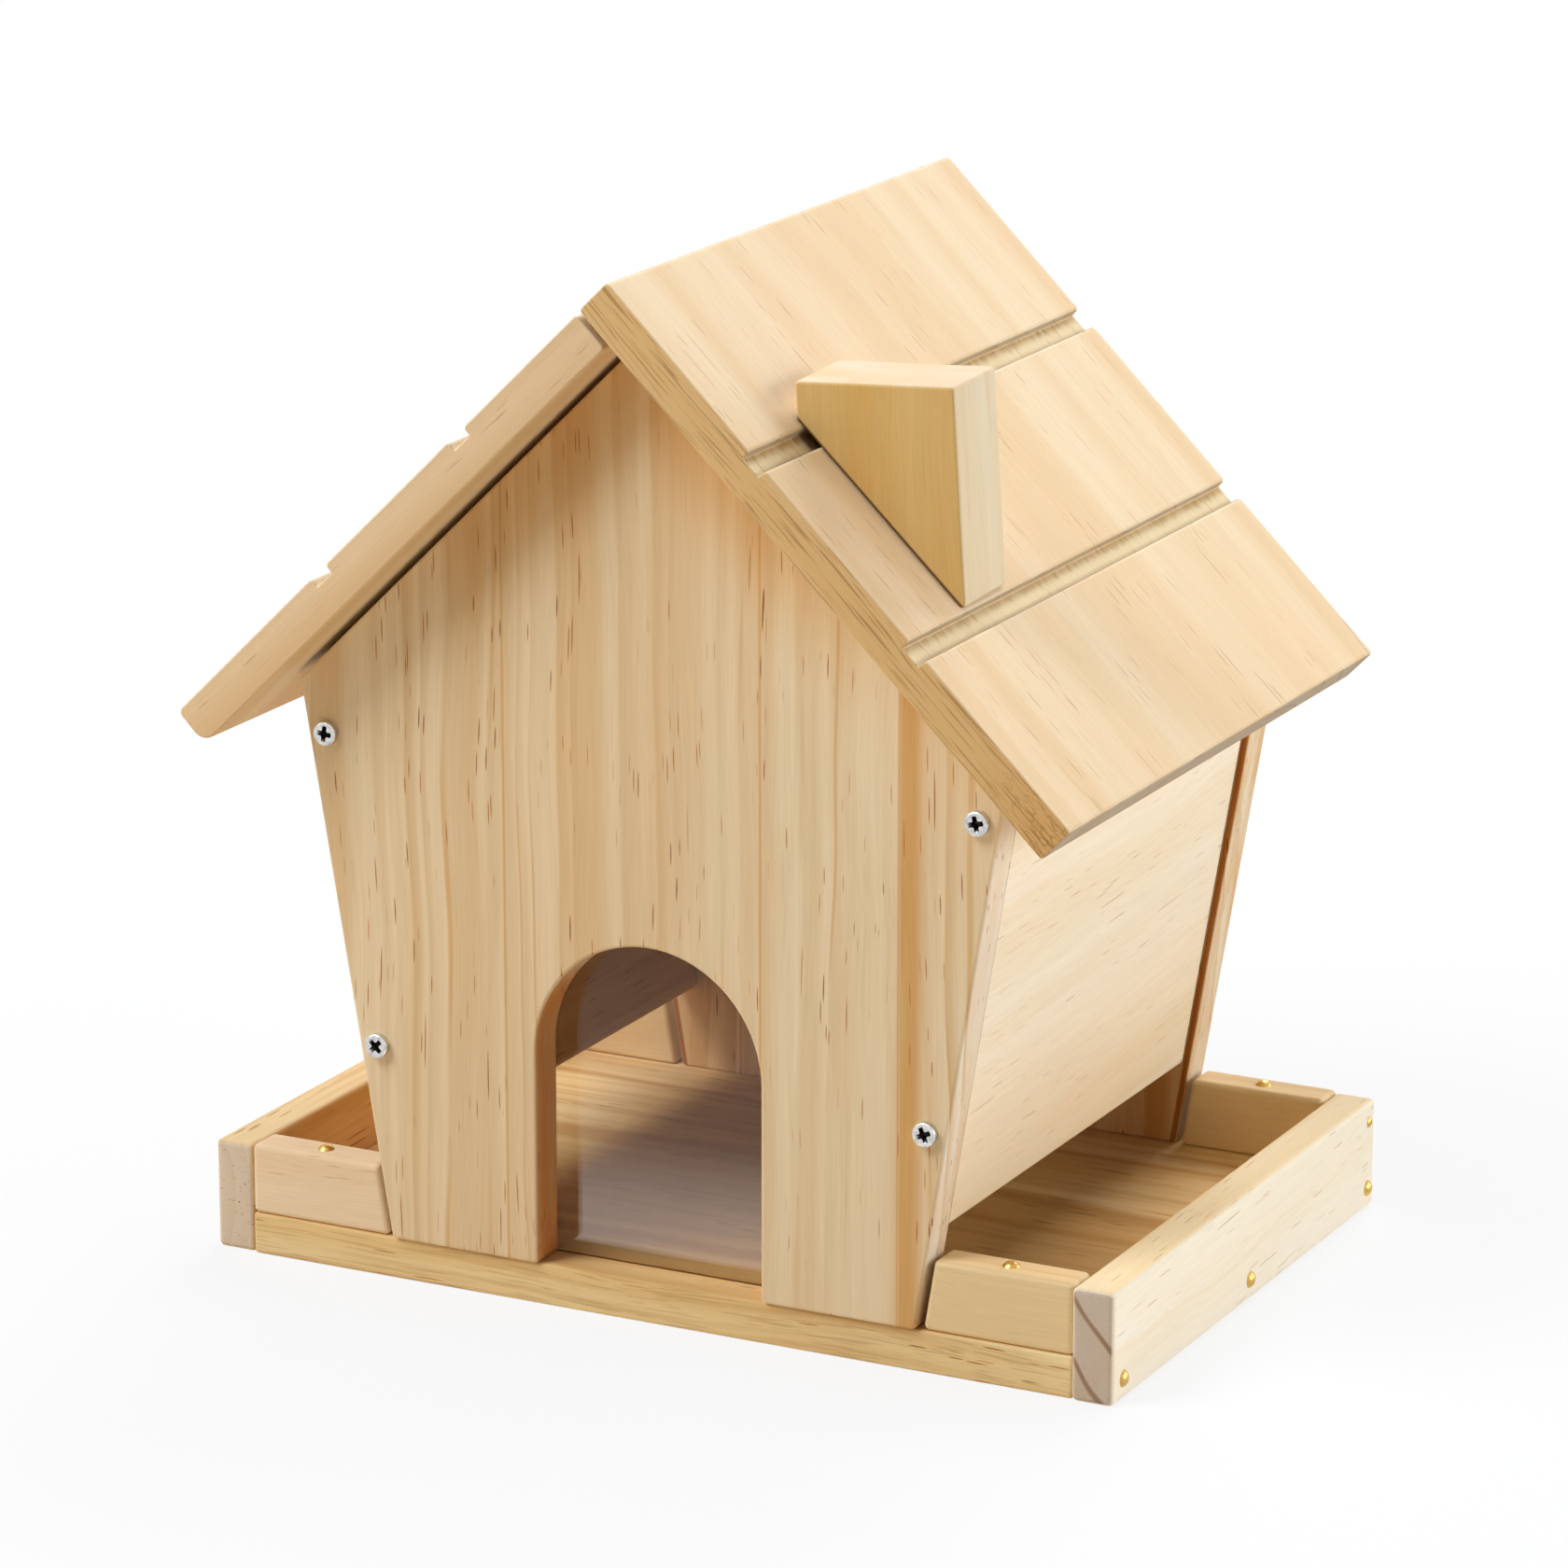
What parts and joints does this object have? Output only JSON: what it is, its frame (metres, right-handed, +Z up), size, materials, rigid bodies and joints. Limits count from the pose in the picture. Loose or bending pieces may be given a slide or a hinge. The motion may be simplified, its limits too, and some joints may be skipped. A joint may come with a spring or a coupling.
{
  "type": "wooden bird feeder",
  "caption": "House-shaped pine hopper feeder on a railed tray, with an arched window, feed gaps along both sides, a hinged roof board that opens for filling and a block chimney",
  "frame": {"origin": "middle of the base board's underside, the face it stands on", "axes": "+X to the right along the front, +Y to the back, +Z up"},
  "size_m": [0.2768, 0.2028, 0.2889],
  "materials": {
    "pine": "planed, unfinished",
    "brass": "polished",
    "zinc_plated_steel": "bright zinc plate",
    "clear_acrylic": "clear sheet"
  },
  "bodies": {
    "house": {"base_board": "pine", "front_panel": "pine", "back_panel": "pine", "left_hopper_wall": "pine", "right_hopper_wall": "pine", "left_tray_rail": "pine", "right_tray_rail": "pine", "front_left_tray_block": "pine", "front_right_tray_block": "pine", "back_left_tray_block": "pine", "back_right_tray_block": "pine", "fixed_roof_board": "pine", "chimney": "pine", "roof_dowels": "pine", "left_rail_nails": "brass", "right_rail_nails": "brass", "left_rail_small_nail": "brass", "right_rail_small_nail": "brass", "tray_block_nails": "brass", "front_hinge_fixed_leaf": "brass", "front_hinge_pin": "brass", "rear_hinge_fixed_leaf": "brass", "rear_hinge_pin": "brass", "hinge_fixed_leaf_screws": "brass", "front_panel_screws": "zinc_plated_steel", "back_panel_screws": "zinc_plated_steel", "window_screws": "zinc_plated_steel", "base_screws": "zinc_plated_steel", "chimney_screw": "zinc_plated_steel", "window_pane": "clear_acrylic"},
    "lid": {"lid_roof_board": "pine", "front_hinge_lid_leaf": "brass", "rear_hinge_lid_leaf": "brass", "hinge_lid_leaf_screws": "brass"}
  },
  "joints": [
    {"name": "lid_hinge", "type": "hinge", "parent": "house", "child": "lid", "pos_m": [-0.01154, 0, 0.2821], "axis": [0, 1, 0], "range_deg": [0, 170]}
  ]
}
